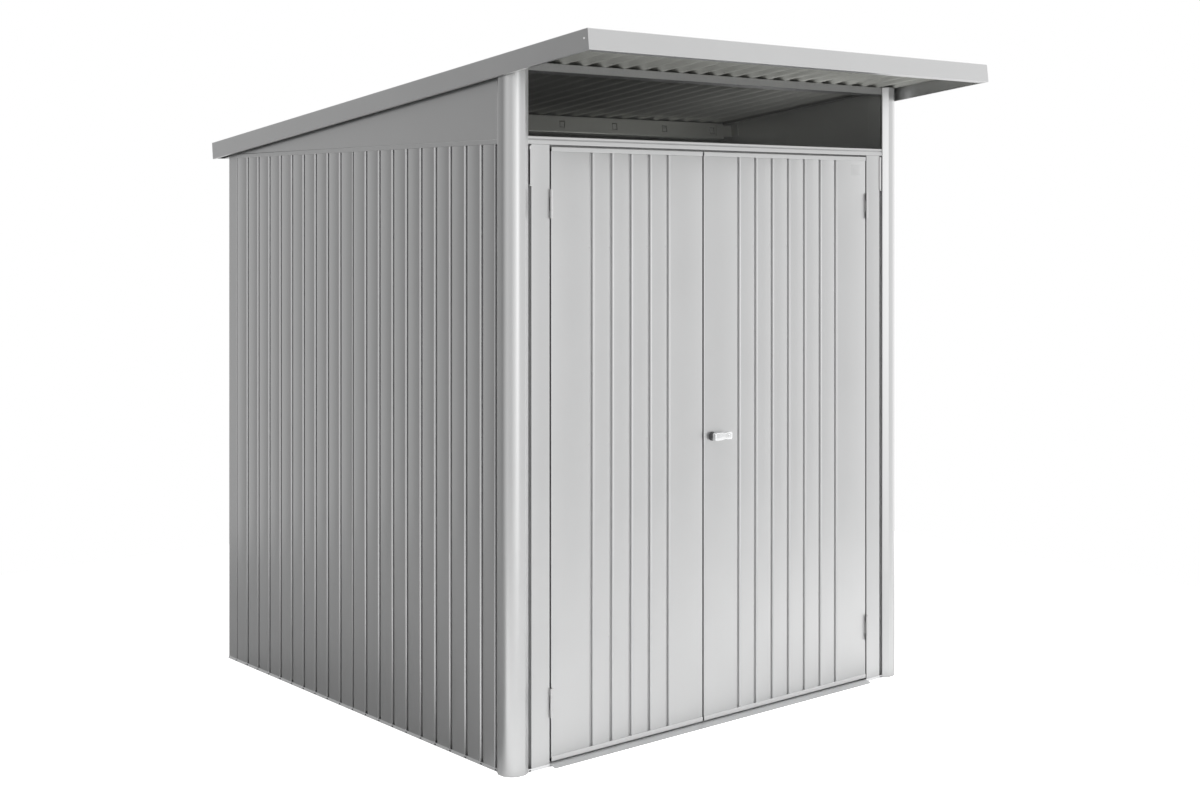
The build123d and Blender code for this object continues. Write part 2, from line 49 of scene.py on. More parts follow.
def metal_group():
    """Node group for rolled or coated metal: flake, faint marks and slow unevenness.

    Each part is noise less one half, times its own amount. Flake and marks multiply the tone,
    marks also move the roughness, and the height adds slow waves to a fine orange peel.
    """
    group = bpy.data.node_groups.new("metal_surface", "ShaderNodeTree")
    face = group.interface
    face.new_socket("Vector", in_out="INPUT", socket_type="NodeSocketVector")
    face.new_socket("Tone", in_out="INPUT", socket_type="NodeSocketColor")
    amounts = ("Flake", "Flake Scale", "Marks", "Mark Scale", "Roughness", "Wave", "Peel")
    for amount in amounts:
        face.new_socket(amount, in_out="INPUT", socket_type="NodeSocketFloat")
    face.new_socket("Color", in_out="OUTPUT", socket_type="NodeSocketColor")
    face.new_socket("Roughness", in_out="OUTPUT", socket_type="NodeSocketFloat")
    face.new_socket("Height", in_out="OUTPUT", socket_type="NodeSocketFloat")
    nodes, links = group.nodes, group.links
    given = nodes.new("NodeGroupInput").outputs
    result = nodes.new("NodeGroupOutput").inputs

    def combine(operation, *values):
        node = nodes.new("ShaderNodeMath")
        node.operation = operation
        for socket, value in zip(node.inputs, values):
            if isinstance(value, (int, float)):
                socket.default_value = value
            else:
                links.new(value, socket)
        return node.outputs[0]

    def noise(scale, detail):
        node = nodes.new("ShaderNodeTexNoise")
        node.inputs["Detail"].default_value = detail
        links.new(given["Vector"], node.inputs["Vector"])
        if isinstance(scale, (int, float)):
            node.inputs["Scale"].default_value = scale
        else:
            links.new(scale, node.inputs["Scale"])
        return combine("SUBTRACT", node.outputs["Fac"], 0.5)

    marks = noise(given["Mark Scale"], 4)
    flake = combine("MULTIPLY", noise(given["Flake Scale"], 1), given["Flake"])
    gain = combine("MULTIPLY_ADD", marks, given["Marks"], combine("ADD", flake, 1.0))
    scaled = nodes.new("ShaderNodeVectorMath")
    scaled.operation = "SCALE"
    links.new(given["Tone"], scaled.inputs[0])
    links.new(gain, scaled.inputs["Scale"])
    links.new(scaled.outputs[0], result["Color"])
    links.new(combine("MULTIPLY_ADD", marks, 0.06, given["Roughness"]), result["Roughness"])
    peel = combine("MULTIPLY", noise(380, 2), given["Peel"])
    links.new(combine("MULTIPLY_ADD", noise(2.3, 1), given["Wave"], peel), result["Height"])
    return group


metal_surface = metal_group()


def metal(name, tone, roughness, metallic, amounts):
    """Metal whose colour, roughness and unevenness come from the group, on Object coordinates."""
    made = bpy.data.materials.new(name)
    made.use_nodes = True
    nodes, links = made.node_tree.nodes, made.node_tree.links
    shader = nodes["Principled BSDF"]
    shader.inputs["Metallic"].default_value = metallic
    surface = nodes.new("ShaderNodeGroup")
    surface.node_tree = metal_surface
    surface.inputs["Tone"].default_value = (*tone, 1)
    surface.inputs["Roughness"].default_value = roughness
    for amount, value in amounts.items():
        surface.inputs[amount].default_value = value
    place = nodes.new("ShaderNodeTexCoord")
    links.new(place.outputs["Object"], surface.inputs["Vector"])
    links.new(surface.outputs["Color"], shader.inputs["Base Color"])
    links.new(surface.outputs["Roughness"], shader.inputs["Roughness"])
    bump = nodes.new("ShaderNodeBump")
    bump.inputs["Distance"].default_value = 1.0
    links.new(surface.outputs["Height"], bump.inputs["Height"])
    links.new(bump.outputs["Normal"], shader.inputs["Normal"])
    return made


def finish_nodes(material, *nodes):
    """Gives carried-over nodes of the frame their material."""
    for node in nodes:
        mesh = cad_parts[node].data
        mesh.materials.clear()
        mesh.materials.append(material)


mill_grain = {"Flake": 0.10, "Flake Scale": 700, "Marks": 0.10, "Mark Scale": 9, "Wave": 0, "Peel": 1e-5}
mill_aluminium = metal("mill_aluminium", (0.85, 0.855, 0.86), 0.34, 0.95, mill_grain)
ramp_aluminium = metal("ramp_aluminium", (0.60, 0.605, 0.61), 0.45, 0.95, mill_grain)
finish_nodes(ramp_aluminium, "door_ramp")


def rounded(path, bends, gauge, steps=6):
    """Both faces of a folded sheet's section, its thickness to the left of the path.

    A corner becomes an arc of its bend, plus the gauge where it turns left, that starts
    radius * tan(turn / 2) before it. A point of the arc, for an angle a from 0 to the turn, is
    start + radius * (sin(a) * run + (1 - cos(a)) * side). The far face is the near one moved
    by the gauge along the left normal.
    """
    path = np.asarray(path, float)
    run = np.diff(path, axis=0)
    run /= np.linalg.norm(run, axis=1)[:, None]
    before, after = run[:-1], run[1:]
    turn = np.arctan2(before[:, 0] * after[:, 1] - before[:, 1] * after[:, 0], (before * after).sum(1))
    radius = np.broadcast_to(bends, turn.shape) + np.where(turn > 0, gauge, 0)
    start = path[1:-1] - before * (radius * np.tan(np.abs(turn) / 2))[:, None]
    side = np.stack([-before[:, 1], before[:, 0]], 1) * np.sign(turn)[:, None]
    angle = turn[:, None] * np.linspace(0, 1, steps)
    forward, aside = np.sin(np.abs(angle))[..., None], (1 - np.cos(angle))[..., None]
    arcs = start[:, None] + radius[:, None, None] * (forward * before[:, None] + aside * side[:, None])
    heading = np.arctan2(before[:, 1], before[:, 0])[:, None] + angle
    ends = np.arctan2(run[[0, -1], 1], run[[0, -1], 0])
    heading = np.concatenate([ends[:1], heading.ravel(), ends[1:]])
    near = np.concatenate([path[:1], arcs.reshape(-1, 2), path[-1:]])
    return near, near + gauge * np.stack([-np.sin(heading), np.cos(heading)], 1)


def swept(section, levels, origin, across, deep, along):
    """Grid of points origin + u * across + v * deep + level * along, with a row for each level."""
    u, v = np.asarray(section, float).T
    flat = np.multiply.outer(u, across) + np.multiply.outer(v, deep)
    return np.asarray(origin, float) + flat + np.multiply.outer(levels, along)[:, None]


def bands(index):
    """Quads between neighbouring rows and columns of a grid of vertex numbers."""
    corners = [index[:-1, :-1], index[:-1, 1:], index[1:, 1:], index[1:, :-1]]
    return np.stack(corners, -1).reshape(-1, 4)


def shell(near, far, closed=False, solid=True):
    """Closed shell of two grids: both faces, and a strip wherever a solid cell borders an open one.

    The cells outside the grid count as open, except across the seam of a closed section.
    """
    if closed:
        near, far = near[:, :-1], far[:, :-1]
    rows, columns = near.shape[:2]
    inner = np.arange(rows * columns).reshape(rows, columns)
    if closed:
        inner = np.concatenate([inner, inner[:, :1]], 1)
    outer = inner + rows * columns
    kept = np.pad(np.broadcast_to(solid, (rows - 1, inner.shape[1] - 1)), 1).astype(int)
    if closed:
        kept[:, 0], kept[:, -1] = kept[:, -2], kept[:, 1]
    cells = kept[1:-1, 1:-1].ravel() > 0
    parts = [bands(inner)[cells], bands(outer)[cells][:, ::-1]]
    corners = (outer[:, :-1], outer[:, 1:], inner[:, 1:], inner[:, :-1])
    along, step = np.stack(corners, -1), np.diff(kept[:, 1:-1], axis=0)
    parts += [along[step > 0], along[step < 0][:, ::-1]]
    corners = (inner[:-1], inner[1:], outer[1:], outer[:-1])
    along, step = np.stack(corners, -1), np.diff(kept[1:-1], axis=1)
    parts += [along[step > 0], along[step < 0][:, ::-1]]
    points = np.concatenate([near.reshape(-1, 3), far.reshape(-1, 3)])
    return points, np.concatenate(parts).tolist()


def put(name, shapes, material, body, replaces=()):
    """One piece from several shapes, each wound outward, smooth except at its sharp edges.

    A shape whose signed volume, the sum of p0 . (p1 x p2) over its faces' fans, is negative has
    its faces turned round.
    """
    points, faces, count = [], [], 0
    for shape_points, shape_faces in shapes:
        volume = 0
        for size in set(map(len, shape_faces)):
            corner = shape_points[np.array([face for face in shape_faces if len(face) == size])]
            for k in range(1, size - 1):
                volume += (corner[:, 0] * np.cross(corner[:, k], corner[:, k + 1])).sum()
        order = 1 if volume > 0 else -1
        faces += [[count + vertex for vertex in face[::order]] for face in shape_faces]
        points.append(shape_points)
        count += len(shape_points)
    mesh = bpy.data.meshes.new(name)
    mesh.from_pydata(np.concatenate(points).tolist(), [], faces)
    mesh.polygons.foreach_set("use_smooth", np.ones(len(faces), bool))
    mesh.set_sharp_from_angle(angle=math.radians(32))
    mesh.materials.append(material)
    made = bpy.data.objects.new(name, mesh)
    bpy.context.scene.collection.objects.link(made)
    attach(made, body)
    if replaces:
        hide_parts(*replaces)
    return made


rail_gauge, rail_height, lip_top, lip_lean, lip_bend = 0.0012, 0.009, 0.001, 0.003, 0.0004
upstand_depth, upstand_top, upstand_bend = 0.028, 0.031, 0.001
slot_bottom, slot_top, slot_half = 0.0024, 0.0058, 0.0045


def base_rail(node, origin, along, deep, places):
    """A channel with a leaning lip, slotted for drainage at those places, and an upstand behind.

    The channel's rows are the slots' edges, so each slot is one open cell of its lip.
    """
    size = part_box(node)[1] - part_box(node)[0]
    width, length = abs(np.dot(size, deep)), abs(np.dot(size, along))
    start, axes = (*origin, 0), (deep, (0, 0, 1), along)
    path = [(lip_top, rail_height), (lip_top - lip_lean, 0), (width, 0)]
    heights = np.array([slot_top, slot_bottom])
    faces = []
    for face in rounded(path, [lip_bend], rail_gauge):
        cut = np.stack([face[0, 0] - lip_lean / rail_height * (face[0, 1] - heights), heights], 1)
        faces.append(np.insert(face, 1, cut, 0))
    edges = np.sort(np.concatenate([[0], places - slot_half, places + slot_half, [length]]))
    solid = np.ones((len(edges) - 1, len(faces[0]) - 1), bool)
    solid[1::2, 1] = False
    channel = shell(*[swept(face, edges, start, *axes) for face in faces], solid=solid)
    path = [(upstand_depth, upstand_top), (upstand_depth, rail_gauge), (width, rail_gauge)]
    faces = rounded(path, [upstand_bend], rail_gauge)
    angle = shell(*[swept(face, (0, length), start, *axes) for face in faces])
    put(node + "_drawn", [channel, angle], mill_aluminium, "shed", (node,))


# A slot drains each groove of the walls and the groove on each side of a front pillar
wall_strips, pillar_groove = 10, 0.013
low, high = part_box("front_base_rail")
places = np.array([pillar_groove / 2, high.x - low.x - pillar_groove / 2])
base_rail("front_base_rail", (low.x, low.y), (1, 0, 0), (0, 1, 0), places)
for side, sign in (("left", -1), ("right", 1)):
    low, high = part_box(f"{side}_base_rail")
    panel_low, panel_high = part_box(f"{side}_wall_rear_panel")
    pitch = (panel_high.y - panel_low.y) / wall_strips
    places = high.y - panel_high.y + pitch * np.arange(2 * wall_strips)
    places = np.append(places, high.y - low.y - pillar_groove / 2)
    origin = (low.x if sign < 0 else high.x, high.y)
    base_rail(f"{side}_base_rail", origin, (0, -1, 0), (-sign, 0, 0), places)
low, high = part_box("rear_base_rail")
panel_low, panel_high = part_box("rear_wall_left_panel")
pitch = (panel_high.x - panel_low.x) / wall_strips
places = (high.x - low.x) / 2 + pitch * np.arange(1 - wall_strips, wall_strips)
base_rail("rear_base_rail", (high.x, high.y), (-1, 0, 0), (0, -1, 0), places)

# Wall panels
# Roll-formed steel sheet, zinc coated and painted metallic silver: flat strips between grooves.
# Their side edges fold inward for the screws, and the grooves flare open at the foot as drains.
silver_grain = {"Flake": 0.06, "Flake Scale": 900, "Marks": 0.04, "Mark Scale": 5}
silver_grain |= {"Wave": 0.0012, "Peel": 2e-6}
silver_paint = metal("silver_paint", (0.60, 0.602, 0.603), 0.30, 0.92, silver_grain)
sheet_gauge = 0.001
groove_half, groove_bends = 0.0052, (0.0050, 0.0010, 0.0010, 0.0050)
wall_groove_bottom, wall_groove_depth = 0.0055, 0.0150
flare, flare_height = 0.0035, 0.0060
seam_half, seam_depth, flange_depth, fold_bend = 0.0040, 0.018, 0.024, 0.0015


def grooves(centres, bottom_half, depth):
    """Corners of pressed grooves, each place plus and minus their half widths, and their bends."""
    half = np.array([-groove_half, -bottom_half, bottom_half, groove_half])
    deep = np.array([0, depth, depth, 0])
    corners = np.stack(np.broadcast_arrays(centres[:, None] + half, deep), -1)
    return corners.reshape(-1, 2), list(groove_bends) * len(centres)


def wall_panel(node, origin, across, deep, length, last_recess):
    """A panel drawn flat, its section carried upward, then stood on its rail.

    Near the foot each side of a groove moves out by flare * exp(-height / flare_height), times
    how close it is to the face and to the groove, so the groove opens like a funnel.
    """
    centres = np.arange(1, wall_strips) * length / wall_strips
    middle, middle_bends = grooves(centres, wall_groove_bottom, wall_groove_depth)
    first = [(0, flange_depth), (0, seam_depth), (seam_half, seam_depth), (seam_half, 0)]
    last = [(length - last_recess, 0), (length - last_recess, seam_depth)]
    last += [(length, seam_depth), (length, flange_depth)]
    path = np.concatenate([first, middle, last])
    bends = [fold_bend] * 3 + middle_bends + [fold_bend] * 3
    foot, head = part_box(node)[0].z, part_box(node)[1].z
    rise = np.array([0, 0.002, 0.004, 0.007, 0.011, 0.016, 0.024, 0.4, 0.9, 1.4, head - foot])
    grids = []
    for face in rounded(path, bends, sheet_gauge):
        grid = swept(face, rise, (0, 0, 0), (1, 0, 0), (0, 1, 0), (0, 0, 1))
        offset = grid[..., 0] - centres[np.abs(grid[..., :1] - centres).argmin(-1)]
        fade = np.clip(1 - np.abs(offset) / (3 * groove_half), 0, 1)
        shallow = np.clip(1 - grid[..., 1] / wall_groove_depth, 0, 1)
        grid[..., 0] += np.sign(offset) * flare * np.exp(-grid[..., 2] / flare_height) * shallow * fade
        axes = np.array([across, deep, (0, 0, 1)], float)
        grids.append(np.array([*origin, foot]) + grid @ axes)
    put(node + "_formed", [shell(*grids)], silver_paint, "shed", (node,))


for side, sign in (("left", -1), ("right", 1)):
    for part, recess in (("rear", seam_half), ("front", pillar_groove)):
        node = f"{side}_wall_{part}_panel"
        low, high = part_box(node)
        face_x = low.x if sign < 0 else high.x
        wall_panel(node, (face_x, high.y), (0, -1, 0), (-sign, 0, 0), high.y - low.y, recess)
    node = f"rear_wall_{side}_panel"
    low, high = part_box(node)
    wall_panel(node, (high.x, high.y), (-1, 0, 0), (0, -1, 0), high.x - low.x, seam_half)

# Rear corner posts, trim bands and gables
# Folded from the same painted sheet. The bands cap the wall panels, and the gables stand on them.
finish_nodes(silver_paint, "left_rear_corner", "right_rear_corner")
finish_nodes(silver_paint, "left_wall_trim", "right_wall_trim")
finish_nodes(silver_paint, "left_gable_panel", "right_gable_panel")

# Front pillars
# Tubes with one large rounded corner between two narrow flats, bevelled beside the wall and the
# door frame. They are painted like the walls and cut off under the slope of the roof sheet.
roof_slope = math.radians(6.33)
pillar_corner, pillar_edge, pillar_wall = 0.042, 0.003, 0.002
pillar_bevel, pillar_bevel_angle = 0.021, math.radians(30)
pillar_bend_steps = 14


def pillar(node, sign):
    """A tube's section, drawn for the left side and carried upward.

    The top ring's height falls by tan(slope) times the distance behind the front.
    """
    low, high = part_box(node)
    outer, inner = (low.x, high.x) if sign < 0 else (-high.x, -low.x)
    front, back = low.y, high.y
    drop = pillar_bevel * math.tan(pillar_bevel_angle)
    start = (inner, (front + back) / 2)
    path = [
        start,
        (inner, back),
        (outer + drop, back),
        (outer, back - pillar_bevel),
        (outer, front),
        (inner - pillar_bevel, front),
        (inner, front + drop),
        start,
    ]
    bends = [pillar_edge - pillar_wall] * 6
    bends[3] = pillar_corner - pillar_wall
    grids = []
    for face in rounded(path, bends, pillar_wall, pillar_bend_steps):
        grid = swept(face, (0, 1), (0, 0, 0), (-sign, 0, 0), (0, 1, 0), (0, 0, 1))
        grid[0, :, 2] = low.z
        grid[1, :, 2] = high.z - (grid[1, :, 1] - front) * math.tan(roof_slope)
        grids.append(grid)
    put(node + "_formed", [shell(*grids, closed=True)], silver_paint, "shed", (node,))


pillar("left_front_pillar", -1)
pillar("right_front_pillar", 1)

# Door jambs and lintel
# The jambs are folded strips, screwed to the pillars through a flange in the groove beside them,
# with a stop lip behind the doors' edges. The lintel is a folded rail with one fine groove
# pressed along its face and a lip of its own, and carries the window.
stop_lip, jamb_bend = 0.014, 0.001


def jamb(side, sign):
    """A jamb's section over x and depth, drawn outward from the stop and carried upward."""
    node = f"{side}_door_jamb"
    low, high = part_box(node)
    pillar_low, pillar_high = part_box(f"{side}_front_pillar")
    stop = min(abs(low.x), abs(high.x))
    outer = max(abs(low.x), abs(high.x))
    against = min(abs(pillar_low.x), abs(pillar_high.x))
    depth = high.y - low.y
    path = [
        (stop, depth),
        (stop + stop_lip, depth),
        (stop + stop_lip, 0),
        (outer, 0),
        (outer, seam_depth),
        (against, seam_depth),
    ]
    faces = rounded(path, [jamb_bend] * 4, sheet_gauge)
    axes = ((sign, 0, 0), (0, 1, 0), (0, 0, 1))
    grids = [swept(face, (low.z, high.z), (0, low.y, 0), *axes) for face in faces]
    put(node + "_formed", [shell(*grids)], silver_paint, "shed", (node,))


jamb("left", -1)
jamb("right", 1)

lintel_low, lintel_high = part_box("lintel")
lintel_depth = lintel_high.y - lintel_low.y
lintel_foot = lintel_low.z + stop_lip
lintel_height = lintel_high.z - lintel_foot
lintel_groove, lintel_groove_half, lintel_groove_depth = 0.016, 0.0028, 0.003
lintel_bends = [0.001, 0.0008, 0.0004, 0.0008, 0.001]
lip_width, lip_inset, lip_tilt = 0.012, 0.002, 0.004
path = [
    (lintel_depth, lintel_height),
    (0, lintel_height),
    (0, lintel_groove + lintel_groove_half),
    (lintel_groove_depth, lintel_groove),
    (0, lintel_groove - lintel_groove_half),
    (0, 0),
    (lintel_depth - lip_inset, 0),
]
faces = rounded(path, lintel_bends, sheet_gauge)
axes = ((0, 1, 0), (0, 0, 1), (1, 0, 0))
start, span = (0, lintel_low.y, lintel_foot), (lintel_low.x, lintel_high.x)
rail = shell(*[swept(face, span, start, *axes) for face in faces])
stop_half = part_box("right_door_jamb")[0].x
lip_back = lintel_depth - lip_inset
path = [(lip_back - lip_width, sheet_gauge), (lip_back, sheet_gauge), (lip_back - lip_tilt, -stop_lip)]
faces = rounded(path, lintel_bends[:1], sheet_gauge)
lip = shell(*[swept(face, (-stop_half, stop_half), start, *axes) for face in faces])
put("lintel_formed", [rail, lip], silver_paint, "shed", ("lintel",))

# Window pane
# A clear acrylic sheet held between the lintel and the front beam. A faint near-black film over it is
# painted shade, darkening the view inside.
clear_acrylic = bpy.data.materials.new("clear_acrylic")
clear_acrylic.use_nodes = True
acrylic = clear_acrylic.node_tree.nodes["Principled BSDF"]
# Painted shade: the pane is partly near-black, which darkens what is seen inside
acrylic.inputs["Base Color"].default_value = (0.012, 0.012, 0.012, 1)
acrylic.inputs["Roughness"].default_value = 0.05
acrylic.inputs["Alpha"].default_value = 0.22
acrylic.inputs["Specular IOR Level"].default_value = 0.3
finish_nodes(clear_acrylic, "window_pane")

# Roof beams and purlin
# The beams over the front and rear walls, the purlin between them and its brackets are folded from
# zinc-coated sheet. The beams' zinc is painted darker, as painted shade under the roof's overhang.
zinc_grain = {"Flake": 0.16, "Flake Scale": 160, "Marks": 0.12, "Mark Scale": 7, "Wave": 0.0, "Peel": 1e-5}
zinc_sheet = metal("zinc_sheet", (0.44, 0.445, 0.415), 0.50, 0.6, zinc_grain)
finish_nodes(zinc_sheet, "roof_purlin", "purlin_brackets")
# Painted shade: the beams' zinc is darker than the purlin's
zinc_painted_shade = metal("zinc_painted_shade", (0.31, 0.31, 0.31), 0.45, 0.6, zinc_grain)
finish_nodes(zinc_painted_shade, "front_roof_beam", "rear_roof_beam")


def stacked(outline, steps, place, across, up, out):
    """Solid whose rings are an outline moved inward, each at its height along out.

    The outline's points move along its normals, which are its edges' directions turned by a
    quarter, and the first and last rings are closed by one face each.
    """
    outline = np.asarray(outline, float)
    edge = np.roll(outline, -1, 0) - np.roll(outline, 1, 0)
    normal = np.stack([edge[:, 1], -edge[:, 0]], 1) / np.linalg.norm(edge, axis=1)[:, None]
    inset, height = np.array(steps, float).T
    flat = outline - inset[:, None, None] * normal
    axes = np.array([across, up], float)
    points = np.array(place, float) + flat @ axes + np.multiply.outer(height, out)[:, None]
    count = len(outline)
    index = np.arange(len(steps) * count).reshape(len(steps), count)
    faces = bands(np.concatenate([index, index[:, :1]], 1)).tolist()
    return points.reshape(-1, 3), faces + [index[0, ::-1].tolist(), index[-1].tolist()]


def ring(radius, count=24):
    """Points of a circle, anticlockwise."""
    angle = np.arange(count) * 2 * math.pi / count
    return radius * np.stack([np.cos(angle), np.sin(angle)], 1)


def rounded_square(half_width, half_height, radius, steps=5):
    """Points of a rectangle whose corners are quarter circles, anticlockwise."""
    angle = np.linspace(0, math.pi / 2, steps)[None] + np.arange(4)[:, None] * math.pi / 2
    corner = np.array([(1, 1), (-1, 1), (-1, -1), (1, -1)]) * (half_width - radius, half_height - radius)
    arc = radius * np.stack([np.cos(angle), np.sin(angle)], -1)
    return (corner[:, None] + arc).reshape(-1, 2)


# The web's square holes are knock-outs: their blanks still stand in them, each on a hair of metal
hole_pitch, holes_each_side, web_half = 0.253, 3, 0.031
blank_half, blank_corner = 0.0096, 0.003
blank_steps = ((0.0008, -0.0024), (0, -0.0016), (0, -0.0008), (0.0008, -0.0002))
down_roof = np.array([0, math.cos(roof_slope), -math.sin(roof_slope)])
out_of_roof = np.array([0, math.sin(roof_slope), math.cos(roof_slope)])
purlin_low, purlin_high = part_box("roof_purlin")
web_y = purlin_low.y + web_half * out_of_roof[1]
web_z = purlin_high.z - web_half * out_of_roof[2]
blank = rounded_square(blank_half, blank_half, blank_corner)
blanks = []
for index in range(-holes_each_side, holes_each_side + 1):
    place = (index * hole_pitch, web_y, web_z)
    blanks.append(stacked(blank, blank_steps, place, (1, 0, 0), out_of_roof, -down_roof))
put("purlin_blanks", blanks, zinc_sheet, "shed")

# Roof sheets
# Two corrugated zinc-coated sheets, whose waves run down the slope, laid on the beams.
corrugation_pitch, corrugation_shift, corrugation_depth = 0.0802, 0.021, 0.017
crest_breadth, points_per_wave = 0.2, 20


def roof_sheet(node, sign):
    """A waved sheet, its section over x carried down the slope.

    The section's height is depth / 2 * (cos(p) + breadth * (1 - cos(2 p))), whose crests are
    broader than its valleys, where p is the turn of the wave at x. The upper face is the lower
    one moved by the gauge along its normal.
    """
    low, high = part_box(node)
    width = max(abs(low.x), abs(high.x))
    x = np.linspace(0, width, int(points_per_wave * width / corrugation_pitch) + 1)
    phase = 2 * math.pi * (x - sign * corrugation_shift) / corrugation_pitch
    height = corrugation_depth / 2 * (np.cos(phase) + crest_breadth * (1 - np.cos(2 * phase)))
    lean = np.gradient(height, x)
    normal = np.stack([-lean, np.ones_like(lean)], 1) / np.sqrt(1 + lean**2)[:, None]
    under = np.stack([x, height], 1)
    thick = corrugation_depth + sheet_gauge
    length = (high.y - low.y - thick * out_of_roof[1]) / down_roof[1]
    top_front = np.array([0, low.y + thick * out_of_roof[1], high.z])
    middle_front = top_front - out_of_roof * (sheet_gauge + corrugation_depth / 2)
    levels, axes = (0, length / 2, length), ((sign, 0, 0), out_of_roof, down_roof)
    grids = [swept(face, levels, middle_front, *axes) for face in (under, under + sheet_gauge * normal)]
    put(node + "_waved", [shell(*grids)], zinc_sheet, "shed", (node,))


roof_sheet("left_roof_sheet", -1)
roof_sheet("right_roof_sheet", 1)

# Fascias and gutter
# Folded from painted sheet, mitred at the front corners and lapped over the roof's edges.
finish_nodes(silver_paint, "front_fascia", "left_fascia", "right_fascia", "rear_gutter")

# Hinges
# Rolled steel hinges, zinc plated, whose plates are riveted to the jamb and to the leaf's edge.
plated_grain = {"Flake": 0.05, "Flake Scale": 900, "Marks": 0.06, "Mark Scale": 40, "Wave": 0, "Peel": 0}
plated_steel = metal("plated_steel", (0.62, 0.62, 0.62), 0.34, 1.0, plated_grain)
for side in ("left", "right"):
    finish_nodes(plated_steel, f"{side}_hinge_fixed_halves", f"{side}_hinge_door_halves")

# Screws, clips and rivets
# Hexagon-headed screws hold the jambs in the grooves beside the pillars. A spring clip over the
# jamb's edge ties it to the lintel, and a rivet closes each front mitre of the fascias, its head
# painted near white as a painted highlight.
facing_front = ((1, 0, 0), (0, 0, 1), (0, -1, 0))
jamb_edge, jamb_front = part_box("right_door_jamb")[1].x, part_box("right_door_jamb")[0].y
screw_x = (jamb_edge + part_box("right_front_pillar")[0].x) / 2
screw_levels, washer_radius, hexagon_radius = (0.028, 0.633, 1.250), 0.0048, 0.0036
washer = ((0, 0), (0.0002, 0.0006), (0.0012, 0.0012))
hexagon = ((0, 0.001), (0, 0.0036), (0.0005, 0.0041), (0.0016, 0.0043))
dome = ((0, 0), (0.0003, 0.0006), (0.0009, 0.0011), (0.0018, 0.0014))
clip_low, clip_high, clip_gauge, clip_bend, clip_proud = 1.752, 1.868, 0.0008, 0.0008, 0.0012
clip_section = ((0.0068, 0.012), (0.0058, -0.0012), (-0.0006, -0.0012), (-0.0016, 0.0006))
tab_x, tab_half, tab_corner, tab_proud = 0.004, 0.0045, 0.0014, 0.0014
tabs = ((clip_low - 0.002, 0.0030), (clip_high - 0.007, 0.0055))
for side, sign in (("left", -1), ("right", 1)):
    fixings = []
    for level in screw_levels:
        place = (sign * screw_x, jamb_front + seam_depth, level)
        fixings.append(stacked(ring(washer_radius), washer, place, *facing_front))
        fixings.append(stacked(ring(hexagon_radius, 6), hexagon, place, *facing_front))
    faces = rounded(clip_section, [clip_bend] * 2, clip_gauge)
    start = (sign * jamb_edge, jamb_front - clip_proud, 0)
    axes = ((sign, 0, 0), (0, 1, 0), (0, 0, 1))
    fixings.append(shell(*[swept(face, (clip_low, clip_high), start, *axes) for face in faces]))
    for level, half in tabs:
        place = (sign * (jamb_edge + tab_x), jamb_front - tab_proud, level)
        tab = rounded_square(tab_half, half, tab_corner, 3)
        fixings.append(stacked(tab, dome, place, *facing_front))
    put(f"{side}_jamb_fixings", fixings, plated_steel, "shed")

rivet_radius, rivet_y, rivet_z = 0.0032, -1.093, 2.151
flush_head = ((0, -0.0005), (0, -0.0001), (0.0003, 0.00003))
rivets = []
for side, sign in (("left", -1), ("right", 1)):
    low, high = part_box(f"{side}_fascia")
    place = (low.x if sign < 0 else high.x, rivet_y, rivet_z)
    axes = ((0, sign, 0), (0, 0, 1), (sign, 0, 0))
    rivets.append(stacked(ring(rivet_radius), flush_head, place, *axes))
# Painted highlight: the rivet heads' near-white colour stands in for the light their domes catch
rivet_painted_highlight = metal("rivet_painted_highlight", (0.88, 0.88, 0.88), 0.55, 0.0, plated_grain)
put("mitre_rivets", rivets, rivet_painted_highlight, "shed")

# Doors
# Each leaf is a grooved painted sheet with folded side edges, let into folded rails at its foot
# and head. Three channels across its back stiffen it.
door_thickness, door_bend, leaf_strips, plain_strips = 0.025, 0.0015, 10, 2
roll_height, roll_depth = 0.0025, 0.0012
leaf_groove_bottom, leaf_groove_depth = 0.0042, 0.0100
right_low, right_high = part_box("right_door_skin")
door_pitch = (right_high.x - right_low.x) / leaf_strips


def leaf_skin(side):
    """A leaf's face, its foot and head rolled in by roll_depth * (1 - height / roll_height)."""
    node = f"{side}_door_skin"
    low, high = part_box(node)
    width = high.x - low.x
    count = round(width / door_pitch)
    centres = np.arange(plain_strips, count - plain_strips + 1) * door_pitch
    middle, middle_bends = grooves(centres, leaf_groove_bottom, leaf_groove_depth)
    path = np.concatenate([[(0, door_thickness), (0, 0)], middle, [(width, 0), (width, door_thickness)]])
    height = high.z - low.z
    rise = np.array([0, roll_height, 0.5, 1.0, 1.4, height - roll_height, height])
    inward = np.array([roll_depth, 0, 0, 0, 0, 0, roll_depth])
    grids = []
    for face in rounded(path, [door_bend] + middle_bends + [door_bend], sheet_gauge):
        grid = swept(face, rise, (low.x, low.y, low.z), (1, 0, 0), (0, 1, 0), (0, 0, 1))
        grid[..., 1] += inward[:, None]
        grids.append(grid)
    put(node + "_formed", [shell(*grids)], silver_paint, f"{side}_door", (node,))


leaf_skin("left")
leaf_skin("right")

